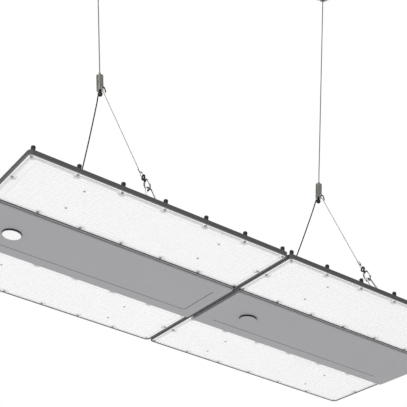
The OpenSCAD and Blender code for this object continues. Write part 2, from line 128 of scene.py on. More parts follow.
def resampled(points: np.ndarray, step: float) -> np.ndarray:
    """Points at an even spacing along a route.

    Args:
        points: The route's points, one a row.
        step: The spacing, in metres.

    Returns:
        The new points, the route's own ends among them.
    """
    along = np.concatenate([[0.0], np.cumsum(np.linalg.norm(np.diff(points, axis=0), axis=1))])
    count = max(2, int(round(along[-1] / step)) + 1)
    at = np.linspace(0.0, along[-1], count)
    return np.stack([np.interp(at, along, points[:, k]) for k in range(3)], axis=1)


def carried_frames(points: np.ndarray, first: Sequence[float]) -> tuple[np.ndarray, np.ndarray]:
    """Two directions across a route at each point, carried on from point to point so that they never twist.

    Args:
        points: The route's points, one a row.
        first: Any direction that the route's start doesn't run along.

    Returns:
        The first and the second direction across, one a row each.
    """
    ways = unit(np.gradient(points, axis=0))
    across = np.empty_like(points)
    e = np.asarray(first, dtype=float)
    for i, t in enumerate(ways):
        e = unit(e - e.dot(t) * t)
        across[i] = e
    return across, np.cross(ways, across)


@dataclass
class Shell:
    """One mesh put together from grids of points."""

    corners: list[np.ndarray] = field(default_factory=list)
    faces: list[list[int]] = field(default_factory=list)
    count: int = 0

    def add_grid(self, grid: np.ndarray, closed: bool = True, capped: bool = True) -> "Shell":
        """Adds a grid of points as quads that face outwards.

        Args:
            grid: Points as (rows, columns, 3).
            closed: Whether the last column joins the first.
            capped: Whether the first and the last row are closed by a face each.

        Returns:
            The shell itself.
        """
        rows, columns = grid.shape[:2]
        index = np.arange(rows * columns).reshape(rows, columns) + self.count
        right = np.roll(index, -1, axis=1) if closed else index[:, 1:]
        left = index if closed else index[:, :-1]
        quads = np.stack([left[:-1], right[:-1], right[1:], left[1:]], axis=-1).reshape(-1, 4)
        points = grid.reshape(-1, 3)
        a, b, c, d = (points[quads[:, k] - self.count] for k in range(4))
        middle = points.mean(axis=0)
        volume = np.einsum("ij,ij->i", np.cross(c - a, d - b), (a + c) / 2 - middle).sum()
        flip = closed and volume < 0
        quads = quads[:, ::-1] if flip else quads
        self.faces += quads.tolist()
        if capped and closed:
            first, last = index[0].tolist(), index[-1].tolist()
            self.faces += [first, last[::-1]] if flip else [first[::-1], last]
        self.corners.append(points)
        self.count += rows * columns
        return self

    def piece(self, name: str, smooth_angle: float = 40.0) -> bpy.types.Object:
        """Makes the object.

        Args:
            name: Its name.
            smooth_angle: Edges sharper than this stay hard, in degrees.

        Returns:
            The new object, at the origin.
        """
        mesh = bpy.data.meshes.new(name)
        mesh.from_pydata(np.vstack(self.corners).tolist(), [], self.faces)
        mesh.validate()
        mesh.shade_smooth()
        mesh.set_sharp_from_angle(angle=math.radians(smooth_angle))
        return placed(name, mesh)


def round_wire(points: np.ndarray, radius: float, first: Sequence[float], sides: int = 20) -> np.ndarray:
    """A round wire: circles across the route, which shrink to a dome at both ends.

    Args:
        points: The route, one point a row.
        radius: The wire's radius.
        first: Any direction that the route's start doesn't run along.
        sides: Points on each circle.

    Returns:
        The grid of points.
    """
    e, f = carried_frames(points, first)
    ways = unit(np.gradient(points, axis=0))
    turn = full_turn(sides)
    dome = np.linspace(0.12, math.pi / 2, 6)
    ring = np.cos(turn)[None, :, None] * e[:, None] + np.sin(turn)[None, :, None] * f[:, None]
    body = points[:, None] + radius * ring
    out, ahead = (radius * part(dome)[:, None, None] for part in (np.sin, np.cos))
    start = points[0] - ways[0] * ahead + out * ring[0]
    end = points[-1] + ways[-1] * ahead + out * ring[-1]
    return np.concatenate([start[:-1], body, end[::-1][1:]])


def stranded_rope(
    points: np.ndarray, radius: float, first: Sequence[float], lay: float, sink: float
) -> np.ndarray:
    """Wire rope: a section of six round strands that turns once round in each lay length of the route.

    A strand of a third of the rope's radius lies at two thirds of it. Seen from the axis, its outline at an
    angle a off its own middle is c cos a + sqrt(r^2 - c^2 sin^2 a), with c and r those two lengths.

    Args:
        points: The route at an even spacing, one point a row.
        radius: The rope's outer radius.
        first: Any direction that the route's start doesn't run along.
        lay: The length in which a strand goes once round.
        sink: How far the valleys between strands sink: 1 for bare rope, near 0 for a thick coating.

    Returns:
        The grid of points.
    """
    strands, per_strand = 6, 7
    e, f = carried_frames(points, first)
    turn = full_turn(strands * per_strand)
    off = (turn * strands / math.tau + 0.5) % 1.0 - 0.5
    a = off * math.tau / strands
    c, r = 2 / 3, 1 / 3
    outline = c * np.cos(a) + np.sqrt(np.maximum(r * r - (c * np.sin(a)) ** 2, 0.0))
    outline = radius * (1 - sink * (1 - outline))
    along = np.concatenate([[0.0], np.cumsum(np.linalg.norm(np.diff(points, axis=0), axis=1))])
    angle = turn[None, :] + math.tau * along[:, None] / lay
    across = np.cos(angle)[..., None] * e[:, None] + np.sin(angle)[..., None] * f[:, None]
    return points[:, None] + outline[None, :, None] * across


def turned(profile: np.ndarray, centre: np.ndarray, axis: np.ndarray, sides: int = 28) -> np.ndarray:
    """A turned shape: each (radius, height) of the profile becomes a circle round the axis.

    Args:
        profile: Radius and height pairs, one a row.
        centre: Where height 0 is.
        axis: The direction of growing height.
        sides: Points on each circle.

    Returns:
        The grid of points.
    """
    axis = unit(np.asarray(axis, dtype=float))
    other = np.array([1.0, 0.0, 0.0]) if abs(axis[0]) < 0.9 else np.array([0.0, 1.0, 0.0])
    e = unit(np.cross(axis, other))
    f = np.cross(axis, e)
    turn = full_turn(sides)
    ring = np.cos(turn)[:, None] * e + np.sin(turn)[:, None] * f
    return centre + profile[:, 0, None, None] * ring[None] + profile[:, 1, None, None] * axis


# ---- shader trees ----


class Board:
    """A thin wrapper round a node tree that adds nodes and links their sockets."""

    def __init__(self, tree: Tree) -> None:
        """Keeps the tree."""
        self.tree = tree

    def add(self, kind: str, inputs: Optional[Inputs] = None, **settings: object) -> bpy.types.Node:
        """Adds a node.

        Args:
            kind: The node's type, without the ShaderNode prefix.
            inputs: What goes into its sockets: a number, a vector or another node's socket.
            settings: Properties of the node.

        Returns:
            The new node.
        """
        made = self.tree.nodes.new("ShaderNode" + kind)
        for key, value in settings.items():
            setattr(made, key, value)
        self.fill(made, inputs or {})
        return made

    def fill(self, node: bpy.types.Node, inputs: Inputs) -> None:
        """Feeds several of a node's sockets."""
        for key, value in inputs.items():
            self.feed(node.inputs[key], value)

    def feed(self, socket: Socket, value: Value) -> None:
        """Puts a constant or a link into a socket."""
        if isinstance(value, bpy.types.NodeSocket):
            self.tree.links.new(value, socket)
        else:
            socket.default_value = value

    def math(self, operation: str, a: Value, b: Value = 0.0, clamp: bool = False) -> Socket:
        """The result of a Math node."""
        return self.add("Math", {0: a, 1: b}, operation=operation, use_clamp=clamp).outputs[0]

    def ramp(
        self, value: Value, low: float, high: float, to_low: float = 0.0, to_high: float = 1.0
    ) -> Socket:
        """A value spread smoothly from one range to another."""
        inputs = {"Value": value, "From Min": low, "From Max": high, "To Min": to_low, "To Max": to_high}
        return self.add("MapRange", inputs, interpolation_type="SMOOTHSTEP").outputs["Result"]

    def noise(self, vector: Value, scale: Value, detail: float = 3.0, roughness: float = 0.55) -> Socket:
        """A noise texture's value."""
        inputs = {"Vector": vector, "Scale": scale, "Detail": detail, "Roughness": roughness}
        return self.add("TexNoise", inputs).outputs["Fac"]

    def blend(self, share: Value, a: Value, b: Value) -> Socket:
        """Two colours mixed."""
        return self.add("Mix", {"Factor": share, 6: a, 7: b}, data_type="RGBA").outputs[2]

    def relief(self, height: Value, strength: float, depth: float, rounding: float) -> Socket:
        """A fine relief on edges that are rounded softly.

        Args:
            height: The relief, from 0 to 1.
            strength: How much of it is used.
            depth: Its full depth.
            rounding: The edges' radius.

        Returns:
            The normal.
        """
        soft = self.add("Bevel", {"Radius": rounding}, samples=4).outputs["Normal"]
        inputs = {"Strength": strength, "Distance": depth, "Height": height, "Normal": soft}
        return self.add("Bump", inputs).outputs["Normal"]

    def object_place(self) -> Socket:
        """The piece's own coordinates, in metres."""
        return self.add("TexCoord").outputs["Object"]


def rgba(colour: Colour, gain: float = 1.0) -> tuple[float, float, float, float]:
    """A colour with alpha 1, scaled by a gain."""
    red, green, blue = (min(1.0, part * gain) for part in colour)
    return (red, green, blue, 1.0)


Fill = Callable[[Board, Sockets], Sockets]


class Effects:
    """The shader node groups that several finishes share, each built once."""

    made: dict[str, Tree] = {}

    @classmethod
    def build(
        cls, name: str, ins: dict[str, Optional[float]], outs: Sequence[str], fill: Fill
    ) -> Tree:
        """Builds a node group, or finds it.

        Args:
            name: The group's name.
            ins: Each input's default, or None for a vector. The coordinates come in as Vector besides.
            outs: The outputs' names.
            fill: Adds the nodes and returns what goes into each output.

        Returns:
            The group.
        """
        if name in cls.made:
            return cls.made[name]
        tree = bpy.data.node_groups.new(name, "ShaderNodeTree")
        ins = {"Vector": None, **ins}
        for label, default in ins.items():
            kind = "NodeSocketVector" if default is None else "NodeSocketFloat"
            port = tree.interface.new_socket(label, in_out="INPUT", socket_type=kind)
            if default is not None:
                port.default_value = default
        for label in outs:
            tree.interface.new_socket(label, in_out="OUTPUT", socket_type="NodeSocketFloat")
        entry = tree.nodes.new("NodeGroupInput")
        leave = tree.nodes.new("NodeGroupOutput")
        results = fill(Board(tree), {label: entry.outputs[label] for label in ins})
        for label, socket in results.items():
            tree.links.new(socket, leave.inputs[label])
        cls.made[name] = tree
        return tree

    @classmethod
    def place(
        cls, board: Board, group: Tree, where: Socket, **inputs: Value
    ) -> bpy.types.Node:
        """Places a group in a material.

        Args:
            board: The material's nodes.
            group: The group.
            where: The coordinates that its pattern follows.
            inputs: What goes into its other sockets.

        Returns:
            The group's node.
        """
        made = board.tree.nodes.new("ShaderNodeGroup")
        made.node_tree = group
        board.fill(made, {"Vector": where, **inputs})
        return made

    @classmethod
    def coat_skin(cls) -> Tree:
        """Powder coat or moulding: a slow orange peel with fine grains on it. Tone varies with the grains."""

        def fill(b: Board, p: Sockets) -> Sockets:
            peel = b.noise(p["Vector"], p["Scale"], 2.0)
            grain = b.noise(p["Vector"], b.math("MULTIPLY", p["Scale"], 7.0), 2.0, 0.7)
            height = b.math("ADD", b.math("MULTIPLY", peel, 0.65), b.math("MULTIPLY", grain, 0.35))
            return {"Height": height, "Tone": b.ramp(grain, 0.3, 0.7)}

        return cls.build("coat_skin", {"Scale": 900.0}, ["Height", "Tone"], fill)

    @classmethod
    def worn_highlit_edges(cls) -> Tree:
        """A mask that is 1 on outer edges and corners, broken up by noise, and 0 on flats, for rubbed wear
        and a painted edge highlight.
        """

        def fill(b: Board, p: Sockets) -> Sockets:
            soft = b.add("Bevel", {"Radius": p["Radius"]}, samples=4).outputs["Normal"]
            hard = b.add("NewGeometry").outputs["Normal"]
            same = b.add("VectorMath", {0: soft, 1: hard}, operation="DOT_PRODUCT").outputs["Value"]
            edge = b.ramp(same, 0.995, 0.8)
            breaks = b.ramp(b.noise(p["Vector"], 160.0, 4.0, 0.65), 0.42, 0.7)
            return {"Mask": b.math("MULTIPLY", b.math("MULTIPLY", edge, breaks), p["Amount"], clamp=True)}

        return cls.build("worn_highlit_edges", {"Radius": 0.0008, "Amount": 0.5}, ["Mask"], fill)

    @classmethod
    def settled_dust(cls) -> Tree:
        """A mask for the fine dust that settles on faces that look up, thicker in drifts."""

        def fill(b: Board, p: Sockets) -> Sockets:
            up = b.add("SeparateXYZ", {0: b.add("NewGeometry").outputs["Normal"]}).outputs["Z"]
            drift = b.ramp(b.noise(p["Vector"], 22.0, 5.0, 0.6), 0.35, 0.75, 0.35, 1.0)
            specks = b.ramp(b.noise(p["Vector"], 1400.0, 1.0), 0.45, 0.65, 0.6, 1.0)
            mask = b.math("MULTIPLY", b.math("MULTIPLY", b.ramp(up, 0.25, 1.0), drift), specks)
            return {"Mask": b.math("MULTIPLY", mask, p["Amount"], clamp=True)}

        return cls.build("settled_dust", {"Amount": 0.3}, ["Mask"], fill)

    @classmethod
    def tool_lines(cls) -> Tree:
        """Fine parallel lines, as brushing or turning leaves: noise stretched along the lines."""

        def fill(b: Board, p: Sockets) -> Sockets:
            squeezed = b.add("VectorMath", {0: p["Vector"], 1: p["Squeeze"]}, operation="MULTIPLY").outputs[0]
            lines = b.noise(squeezed, 1.0, 4.0, 0.7)
            return {"Height": lines, "Tone": b.ramp(lines, 0.3, 0.7)}

        return cls.build("tool_lines", {"Squeeze": None}, ["Height", "Tone"], fill)

    @classmethod
    def handling(cls) -> Tree:
        """A slow unevenness of gloss, as wiping and handling leave it, between Low and High."""

        def fill(b: Board, p: Sockets) -> Sockets:
            cloud = b.noise(p["Vector"], p["Scale"], 5.0, 0.62)
            spread = b.math("SUBTRACT", p["High"], p["Low"])
            value = b.math("ADD", p["Low"], b.math("MULTIPLY", b.ramp(cloud, 0.3, 0.7), spread))
            return {"Value": value}

        return cls.build("handling", {"Scale": 14.0, "Low": 0.4, "High": 0.5}, ["Value"], fill)


# ---- finishes ----

DUST = (0.46, 0.44, 0.40, 1.0)
# Near black painted shade that creases and recesses take on.
PAINTED_CREASE_SHADE = (0.02, 0.02, 0.022, 1.0)
VALLEY_SHADE = (0.42, 0.42, 0.43, 1.0)
COLOUR_CHANGE = 0.4 * MM


@dataclass(frozen=True)
class Finish:
    """What every finish has: a name and a colour."""

    name: str
    colour: Colour

    def shading(self, b: Board, place: Socket) -> Inputs:
        """What goes into each of the shader's inputs; each finish has its own."""
        raise NotImplementedError

    def make(self) -> bpy.types.Material:
        """Builds the material."""
        material = bpy.data.materials.new(self.name)
        material.use_nodes = True
        material.diffuse_color = rgba(self.colour)
        board = Board(material.node_tree)
        shader = material.node_tree.nodes["Principled BSDF"]
        board.fill(shader, self.shading(board, board.object_place()))
        return material


def uneven(b: Board, place: Socket, roughness: float, down: float, up: float, scale: float) -> Socket:
    """A roughness that wanders about its value.

    Args:
        b: The material's nodes.
        place: The piece's own coordinates.
        roughness: The value.
        down: How far it goes below it.
        up: How far it goes above it.
        scale: The pattern's fineness.

    Returns:
        The roughness.
    """
    return Effects.place(
        b, Effects.handling(), place, Scale=scale, Low=roughness - down, High=roughness + up
    ).outputs["Value"]


@dataclass(frozen=True)
class PowderCoat(Finish):
    """Powder coat on cast or folded metal: orange peel, fine grains, dust on top, edges lighter from rubbed
    wear and a painted highlight, painted shade in creases, and, where colours are given, painted shade above
    one height and painted light below another.
    """

    roughness: float = 0.5
    peel_scale: float = 700.0
    depth: float = 0.00005
    rubbed_and_highlight: Colour = (0.42, 0.42, 0.42)
    wear_and_highlight: float = 0.35
    dust: float = 0.25
    crease_shade: float = 0.3
    # Painted shade above one height and painted light below another, when given.
    painted_shade_above: Optional[Colour] = None
    painted_shade_above_from: float = 0.0
    painted_light_below: Optional[Colour] = None
    painted_light_below_from: float = 0.0

    def shading(self, b: Board, place: Socket) -> Inputs:
        """The nodes behind the shader.

        Args:
            b: The material's nodes.
            place: The piece's own coordinates.

        Returns:
            What goes into each of the shader's inputs.
        """
        skin = Effects.place(b, Effects.coat_skin(), place, Scale=self.peel_scale)
        edges = Effects.place(b, Effects.worn_highlit_edges(), place, Radius=0.0006, Amount=self.wear_and_highlight)
        dust = Effects.place(b, Effects.settled_dust(), place, Amount=self.dust)
        gloss = uneven(b, place, self.roughness, 0.06, 0.07, 14.0)
        base = b.blend(skin.outputs["Tone"], rgba(self.colour, 0.95), rgba(self.colour, 1.05))
        # Painted shade above one height and painted light below another: the colour changes to the given
        # colour there, over COLOUR_CHANGE.
        level = b.add("SeparateXYZ", {0: place}).outputs["Z"]
        for colour, start, way in ((self.painted_shade_above, self.painted_shade_above_from, 1), (self.painted_light_below, self.painted_light_below_from, -1)):
            if colour is not None:
                beyond = b.ramp(level, start - way * COLOUR_CHANGE, start + way * COLOUR_CHANGE)
                base = b.blend(beyond, base, rgba(colour))
        # Edges lighter: partly rubbed wear, partly a painted edge highlight.
        base = b.blend(edges.outputs["Mask"], base, rgba(self.rubbed_and_highlight))
        base = b.blend(dust.outputs["Mask"], base, DUST)
        # Painted shade: the colour goes towards near black in creases and recesses, where ambient occlusion
        # finds them.
        open_sky = b.add("AmbientOcclusion", {"Distance": 0.004}, samples=6).outputs["AO"]
        crease_shade_share = b.math("MULTIPLY", b.ramp(open_sky, 0.85, 0.35), self.crease_shade)
        base = b.blend(crease_shade_share, base, PAINTED_CREASE_SHADE)
        dulled = b.math("MULTIPLY", dust.outputs["Mask"], 0.35)
        return {
            "Base Color": base,
            "Roughness": b.math("ADD", gloss, dulled, clamp=True),
            "Normal": b.relief(skin.outputs["Height"], 0.5, self.depth, 0.0005),
        }


@dataclass(frozen=True)
class PlatedMetal(Finish):
    """Bare, turned, brushed or plated metal with fine tool lines along one axis of the piece."""

    roughness: float = 0.32
    squeeze: Colour = (900.0, 900.0, 60.0)
    depth: float = 0.00002
    tarnish: Colour = (0.25, 0.24, 0.21)
    tarnish_share: float = 0.25
    rounding: float = 0.0003

    def shading(self, b: Board, place: Socket) -> Inputs:
        """The nodes behind the shader.

        Args:
            b: The material's nodes.
            place: The piece's own coordinates.

        Returns:
            What goes into each of the shader's inputs.
        """
        lines = Effects.place(b, Effects.tool_lines(), place, Squeeze=self.squeeze)
        stain = Effects.place(b, Effects.handling(), place, Scale=70.0, Low=0.0, High=self.tarnish_share)
        base = b.blend(lines.outputs["Tone"], rgba(self.colour, 0.88), rgba(self.colour, 1.1))
        return {
            "Metallic": 1.0,
            "Base Color": b.blend(stain.outputs["Value"], base, rgba(self.tarnish)),
            "Roughness": uneven(b, place, self.roughness, 0.07, 0.09, 160.0),
            "Normal": b.relief(lines.outputs["Height"], 0.5, self.depth, self.rounding),
        }


@dataclass(frozen=True)
class Moulded(Finish):
    """Moulded plastic or rubber: a fine spark-eroded grain and a slightly uneven gloss."""

    roughness: float = 0.45
    grain_scale: float = 2200.0
    depth: float = 0.00003
    bloom: float = 0.06
    dust: float = 0.15
    shine: float = 0.5

    def shading(self, b: Board, place: Socket) -> Inputs:
        """The nodes behind the shader.

        Args:
            b: The material's nodes.
            place: The piece's own coordinates.

        Returns:
            What goes into each of the shader's inputs.
        """
        skin = Effects.place(b, Effects.coat_skin(), place, Scale=self.grain_scale)
        dust = Effects.place(b, Effects.settled_dust(), place, Amount=self.dust)
        base = b.blend(skin.outputs["Tone"], rgba(self.colour, 0.93), rgba(self.colour, 1.05))
        return {
            "Specular IOR Level": self.shine,
            "Base Color": b.blend(dust.outputs["Mask"], base, DUST),
            "Roughness": uneven(b, place, self.roughness, 0.05, self.bloom, 40.0),
            "Normal": b.relief(skin.outputs["Height"], 0.4, self.depth, 0.0004),
        }


@dataclass(frozen=True)
class LensPolymer(Finish):
    """White diffusing lens plastic: glossy, faintly cloudy, a little light coming through it."""

    cloud: Colour = (0.925, 0.927, 0.93)
    roughness: float = 0.3

    def shading(self, b: Board, place: Socket) -> Inputs:
        """The nodes behind the shader.

        Args:
            b: The material's nodes.
            place: The piece's own coordinates.

        Returns:
            What goes into each of the shader's inputs.
        """
        cloud = b.ramp(b.noise(place, 9.0, 4.0, 0.6), 0.35, 0.7, 0.0, 0.35)
        flow = Effects.place(b, Effects.tool_lines(), place, Squeeze=(14.0, 500.0, 14.0))
        base = b.blend(cloud, rgba(self.colour), rgba(self.cloud))
        base = b.blend(b.math("MULTIPLY", flow.outputs["Tone"], 0.12), base, rgba(self.cloud))
        open_sky = b.add("AmbientOcclusion", {"Distance": 0.003}, samples=8).outputs["AO"]
        return {
            "Base Color": b.blend(b.ramp(open_sky, 0.96, 0.35, 0.0, 0.5), base, VALLEY_SHADE),
            "Roughness": uneven(b, place, self.roughness, 0.06, 0.1, 14.0),
            "Subsurface Weight": 0.12,
            "Subsurface Scale": 0.003,
            "Subsurface Radius": (1.0, 1.0, 1.0),
            "Normal": b.relief(flow.outputs["Height"], 0.3, 0.00003, 0.0005),
        }


class Palette:
    """Every finish of the light, by the record's material slot, each made when it is first asked for."""

    FINISHES: dict[str, Finish] = {
        "tray_paint": PowderCoat(
            # Painted shade: light darkening of the tray's creases.
            "tray_powder_coat", (0.115, 0.115, 0.12), 0.5, crease_shade=0.25,
            # Painted shade: near black above -941 mm, for the shade on the tray's upper side. Painted light:
            # light grey below -950.7 mm, for the light on its collar.
            painted_shade_above=(0.03, 0.03, 0.032), painted_shade_above_from=-941.0 * MM,
            painted_light_below=(0.42, 0.42, 0.43), painted_light_below_from=-950.7 * MM,
        ),
        "cover_paint": PowderCoat(
            "cover_satin_paint", (0.33, 0.33, 0.346), 0.42, 1500.0, 0.00002, (0.6, 0.6, 0.6), 0.2, 0.1,
            # Painted shade: strong darkening of the cover's creases, such as its groove.
            crease_shade=0.85,
        ),
        "lens_polymer": LensPolymer("lens_polymer", (0.955, 0.955, 0.956)),
        "steel_wire": PlatedMetal(
            "galvanised_rope", (0.42, 0.42, 0.41), 0.38, (900.0, 900.0, 900.0), rounding=0.00005,
        ),
        "black_wire": Moulded("black_rope_coat", (0.013, 0.013, 0.014), 0.5, 5000.0, shine=0.25),
        "nickel_brass": PlatedMetal("satin_nickel", (0.56, 0.55, 0.51), 0.28, (1100.0, 1100.0, 90.0)),
        "steel_fastener": PlatedMetal("stainless", (0.44, 0.44, 0.44), 0.3, (800.0, 120.0, 800.0)),
        "seal_rubber": Moulded("seal_rubber", (0.022, 0.022, 0.024), 0.7, 1800.0, 0.00004),
        "black_plastic": Moulded("black_plastic", (0.012, 0.012, 0.013), 0.6, 2000.0, 0.00005, shine=0.2),
        "sensor_white": Moulded("sensor_opal", (0.97, 0.97, 0.97), 0.3, 2500.0, 0.00001, 0.05, 0.05),
        "cap_plastic": Moulded("cap_plastic", (0.335, 0.335, 0.352), 0.42, 1800.0, 0.00003),
        "driver_case": PlatedMetal("driver_case", (0.5, 0.51, 0.52), 0.42, (60.0, 900.0, 900.0)),
        "pcb_white": Moulded("solder_mask_white", (0.85, 0.86, 0.85), 0.4, 1500.0, 0.00001),
        "black_steel": PlatedMetal("blackened_steel", (0.05, 0.05, 0.052), 0.35, (700.0, 700.0, 700.0)),
    }
    made: dict[str, bpy.types.Material] = {}

    @classmethod
    def get(cls, slot: str) -> bpy.types.Material:
        """The material of a slot."""
        if slot not in cls.made:
            cls.made[slot] = cls.FINISHES[slot].make()
        return cls.made[slot]


def dress_node(node: str, slot: str) -> None:
    """Gives a CAD node the finish of a slot.

    Args:
        node: The node's name.
        slot: The material slot.
    """
    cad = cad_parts[node]
    material = Palette.get(slot)
    if not cad.material_slots:
        cad.data.materials.append(material)
    for place in cad.material_slots:
        place.material = material


def add_piece(
    shell: Shell, name: str, body: str, slot: str, replaces: Sequence[str] = (), smooth_angle: float = 40.0
) -> bpy.types.Object:
    """Makes a piece, dresses it and lets it ride.

    Args:
        shell: Its surfaces.
        name: Its name.
        body: The CAD body that it moves with.
        slot: The material slot that it takes its finish from.
        replaces: CAD nodes that it stands for.
        smooth_angle: Edges sharper than this stay hard, in degrees.

    Returns:
        The piece.
    """
    piece = shell.piece(name, smooth_angle)
    piece.data.materials.append(Palette.get(slot))
    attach(piece, body)
    if replaces:
        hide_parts(*replaces)
    log.info("%s: %d corners on %s", name, shell.count, body)
    return piece


# ---- the hanger ----


@dataclass
class Place:
    """Where a module hangs, read off the frame."""

    side: Side
    centre_x: float = 0.0
    rim_z: float = 0.0

    COLLAR_BELOW_RIM = 3.0 * MM

    def __post_init__(self) -> None:
        """Reads the tray's box."""
        low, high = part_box(f"tray_{self.side.value}")
        self.centre_x = (low[0] + high[0]) / 2
        self.rim_z = low[2] + self.COLLAR_BELOW_RIM

    def at(self, points: np.ndarray) -> np.ndarray:
        """Points from the module's own coordinates to the row frame."""
        return points + np.array([self.centre_x, 0.0, self.rim_z])


@dataclass
class Hanger:
    """One Y hanger: the rope to the ceiling, two rope legs, their hooks and the bails on the tray."""

    place: Place
    gripper_z: float
    hook_z: float = 76.0 * MM
    foot_y: float = 200.0 * MM
    foot_z: float = 13.0 * MM
    hook_reach: float = 32.0 * MM
    pivot_depth: float = 12.0 * MM
    ball_drop: float = 7.5 * MM
    rope_r: float = 1.2 * MM
    near_leg_r: float = 0.8 * MM
    far_leg_r: float = 1.3 * MM
    bail_r: float = 1.5 * MM
    bail_x: float = 15.0 * MM
    hook_wire_r: float = 1.6 * MM
    gate_wire_r: float = 1.2 * MM
    gate_out: float = 6.2 * MM

    # A leg's end round its hook's eye: along the row, then down the leg from the eye, in millimetres
    EYE_LOOP = (
        (-1.15, -30), (-1.15, -15.5), (-2.3, -12.5), (-3.6, -9), (-4.1, -5.6), (-3.5, -2.8),
        (-2.7, -1.4), (-1.3, -0.6), (0, -0.4), (1.3, -0.6), (2.7, -1.4), (3.5, -2.8),
        (4.1, -5.6), (3.6, -9), (2.3, -12.5), (1.15, -15.5), (1.15, -25),
    )
    # Out of the gripper's cross hole, from the gripper's lower end, in millimetres
    NEAR_START = ((-3.2, 4.5, 5), (-3.2, -7, 5), (-3.2, -9, 4.2), (-3.1, -10.6, 2.4), (-3, -12, -0.5))
    FAR_START = (
        (3.2, -16, -11), (3.2, -15, -5), (3.2, -12.5, 1), (3.2, -9.5, 5), (3.2, -7, 6),
        (3.2, 7, 6), (3.2, 9.8, 5), (3.2, 12.5, 1.5), (3.1, 15.5, -4.5),
    )
    # Back to the leg's line: along the row, out from the leg, then down the leg, in millimetres
    FAR_RUN = ((3, 7.4, 24), (2.5, 5.6, 42), (1.9, 3.6, 68), (1.1, 1.2, 112), (-0.3, 0, 174))
    # The turned barrel between a hook's eye and its loop: radius and height, in millimetres
    BARREL = (
        (0.2, 0), (2.0, 0.05), (2.5, 0.4), (2.7, 1.0), (2.7, 2.2), (2.2, 2.5),
        (2.2, 3.0), (2.7, 3.3), (2.7, 5.6), (2.3, 6.3), (1.4, 6.8), (0.2, 6.9),
    )
    # Stretches down from the eye's middle that the barrel and the gate take up, in millimetres
    BARREL_SPAN = (4.6, 11.8)
    GATE_SPAN = (14.7, 27.6)
    ROPE_SMOOTH = 75.0

    def __post_init__(self) -> None:
        """Works out the hanger's lean, its legs' slope and its stations."""
        low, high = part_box(f"ceiling_cup_{self.key}")
        out = (low[0] + high[0]) / 2 - self.place.centre_x
        rise = -self.pivot_depth - self.place.rim_z - self.hook_z
        self.lean = math.atan(out / rise)
        self.pivot_z = self.hook_z + rise / math.cos(self.lean)
        self.leg_top_z = self.gripper_z + 4.0 * MM
        self.slope = math.atan(self.foot_y / (self.leg_top_z - self.foot_z))
        self.apex_s = (self.leg_top_z - self.hook_z) / math.cos(self.slope)
        self.foot_s = (self.leg_top_z - self.foot_z) / math.cos(self.slope)
        self.hook_s = self.apex_s - self.hook_reach

    @property
    def key(self) -> str:
        """The letter of the hanger's side."""
        return self.place.side.value

    def tag(self, wing: Wing) -> str:
        """The ending of a name: the half of the module and the hanger's side."""
        return f"{wing.value}_{self.key}"

    def leaned(self, points: np.ndarray) -> np.ndarray:
        """Points of the upright hanger, leaned about the hooks' line and put in the row frame."""
        x, y, z = points[..., 0], points[..., 1], points[..., 2] - self.hook_z
        c, s = math.cos(self.lean), math.sin(self.lean)
        return self.place.at(np.stack([x * c + z * s, y, self.hook_z - x * s + z * c], axis=-1))

    def in_leg(self, wing: Wing, x: np.ndarray, out: np.ndarray, down: np.ndarray) -> np.ndarray:
        """Points given along a leg, in the upright hanger's coordinates.

        Args:
            wing: Which leg.
            x: Across the leg, along the row.
            out: Away from the leg's line, outwards.
            down: Down the leg from its top.

        Returns:
            The points, one a row.
        """
        c, s = math.cos(self.slope), math.sin(self.slope)
        y = down * s + out * c
        z = self.leg_top_z - (down * c - out * s)
        return np.stack([np.broadcast_to(x, y.shape), wing.sign * y, z], axis=-1)

    def build_rope(self) -> None:
        """The main rope, from the ball under the gripper to the ball in the ceiling cup."""
        ends = np.array([[0.0, 0.0, self.gripper_z - self.ball_drop], [0.0, 0.0, self.pivot_z]])
        route = self.leaned(resampled(ends, 1.1 * MM))
        shell = Shell().add_grid(stranded_rope(route, self.rope_r, (1.0, 0.0, 0.0), 13.0 * MM, 0.75))
        rope = add_piece(
            shell, f"main_rope_{self.key}", f"wire_{self.key}", "steel_wire",
            [f"main_wire_{self.key}"], self.ROPE_SMOOTH,
        )
        dress_node(f"wire_ends_{self.key}", "black_steel")

    def leg_route(self, wing: Wing) -> np.ndarray:
        """A leg's route: out of the gripper, down the leg and round the hook's eye.

        Args:
            wing: Which leg.

        Returns:
            The points, one a row.
        """
        start = np.array(self.NEAR_START if wing is Wing.NEAR else self.FAR_START, dtype=float) * MM
        start = start + np.array([0.0, 0.0, self.gripper_z])
        loop = np.array(self.EYE_LOOP) * MM
        loop[:, 0] *= 1.0 if wing is Wing.NEAR else 1.25
        parts = [start]
        if wing is Wing.FAR:
            run = np.array(self.FAR_RUN) * MM
            parts.append(self.in_leg(wing, run[:, 0], run[:, 1], run[:, 2]))
        parts.append(self.in_leg(wing, loop[:, 0], np.zeros(len(loop)), self.hook_s + loop[:, 1]))
        return self.leaned(relaxed(np.vstack(parts), 3))

    def build_leg(self, wing: Wing) -> None:
        """A rope leg, bare on the near side and coated black on the far one.

        Args:
            wing: Which leg.
        """
        near = wing is Wing.NEAR
        radius = self.near_leg_r if near else self.far_leg_r
        route = resampled(self.leg_route(wing), 0.8 * MM)
        grid = stranded_rope(route, radius, (1.0, 0.0, 0.0), 11.0 * MM, 0.75 if near else 0.22)
        leg = add_piece(
            Shell().add_grid(grid), f"leg_rope_{self.tag(wing)}", f"hanger_{self.key}",
            "steel_wire" if near else "black_wire", [f"leg_wire_{self.tag(wing)}"], self.ROPE_SMOOTH,
        )

